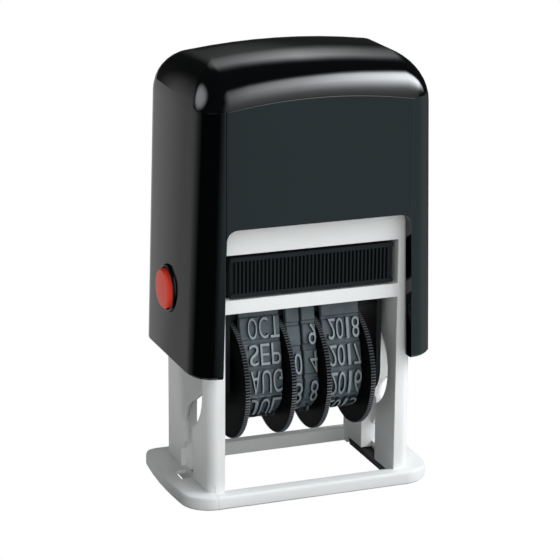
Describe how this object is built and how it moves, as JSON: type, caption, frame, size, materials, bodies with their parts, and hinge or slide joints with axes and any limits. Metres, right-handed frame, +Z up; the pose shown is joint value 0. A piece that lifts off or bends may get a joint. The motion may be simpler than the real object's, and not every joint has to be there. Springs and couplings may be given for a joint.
{
  "type": "self-inking date stamp",
  "caption": "Small self-inking date stamp: a black press-down cover over a white grooved frame, with turning date bands, knurled setting wheels and a pull-out ink pad.",
  "frame": {"origin": "on the surface that the stamp stands on, under the middle of its bounding box", "axes": "+X is across the width, to the right seen from the front; -Y is the front with the pull-out pad; +Z is up, along the press stroke"},
  "size_m": [0.0382, 0.024, 0.0634],
  "materials": {
    "white_plastic": "satin white moulding",
    "black_gloss": "polished black moulding",
    "black_plastic": "satin black moulding",
    "red_plastic": "glossy red moulding",
    "band_rubber": "blue-grey type rubber",
    "black_rubber": "matt black rubber",
    "felt": "ink-soaked felt",
    "steel": "bright steel"
  },
  "bodies": {
    "frame": {"base_frame": "white_plastic", "foot_strip_left": "black_rubber", "foot_strip_right": "black_rubber", "return_spring": "steel"},
    "pad": {"pad_cassette": "black_plastic", "pad_felt": "felt"},
    "cover": {"cover_shell": "black_gloss", "lock_collar_left": "black_gloss", "lock_collar_right": "black_gloss", "press_bridge": "black_plastic"},
    "left_button": {"lock_button_left": "red_plastic"},
    "right_button": {"lock_button_right": "red_plastic"},
    "date_unit": {"unit_side_left": "black_plastic", "unit_side_right": "black_plastic", "platen": "black_plastic", "wheel_axle": "steel", "axle_spacer": "black_plastic", "month_band": "band_rubber", "day_tens_band": "band_rubber", "day_units_band": "band_rubber", "year_band": "band_rubber"},
    "month_wheel": {"month_wheel": "black_plastic"},
    "day_tens_wheel": {"day_tens_wheel": "black_plastic"},
    "day_units_wheel": {"day_units_wheel": "black_plastic"},
    "year_wheel": {"year_wheel": "black_plastic"}
  },
  "joints": [
    {"name": "cover_press", "type": "slide", "parent": "frame", "child": "cover", "axis": [0, 0, -1], "range_m": [0, 0.017], "stiffness_N_per_m": 500, "springref_m": -0.01, "deforming": ["return_spring"]},
    {"name": "unit_flip", "type": "hinge", "parent": "cover", "child": "date_unit", "pos_m": [0, 0, 0.0235], "axis": [-1, 0, 0], "range_deg": [0, 180]},
    {"name": "month_turn", "type": "hinge", "parent": "date_unit", "child": "month_wheel", "pos_m": [0, -0.002, 0.0164], "axis": [1, 0, 0], "continuous": true},
    {"name": "day_tens_turn", "type": "hinge", "parent": "date_unit", "child": "day_tens_wheel", "pos_m": [0, -0.002, 0.0164], "axis": [1, 0, 0], "continuous": true},
    {"name": "day_units_turn", "type": "hinge", "parent": "date_unit", "child": "day_units_wheel", "pos_m": [0, -0.002, 0.0164], "axis": [1, 0, 0], "continuous": true},
    {"name": "year_turn", "type": "hinge", "parent": "date_unit", "child": "year_wheel", "pos_m": [0, -0.002, 0.0164], "axis": [1, 0, 0], "continuous": true},
    {"name": "left_lock_press", "type": "slide", "parent": "cover", "child": "left_button", "axis": [1, 0, 0], "range_m": [0, 0.0008], "stiffness_N_per_m": 300, "springref_m": -0.001},
    {"name": "right_lock_press", "type": "slide", "parent": "cover", "child": "right_button", "axis": [-1, 0, 0], "range_m": [0, 0.0008], "stiffness_N_per_m": 300, "springref_m": -0.001},
    {"name": "pad_slide", "type": "slide", "parent": "frame", "child": "pad", "axis": [0, 1, 0], "range_m": [-0.024, 0]}
  ],
  "couplings": [
    {"joint": "unit_flip", "follows": "cover_press", "rad_per_m": 184.79}
  ]
}
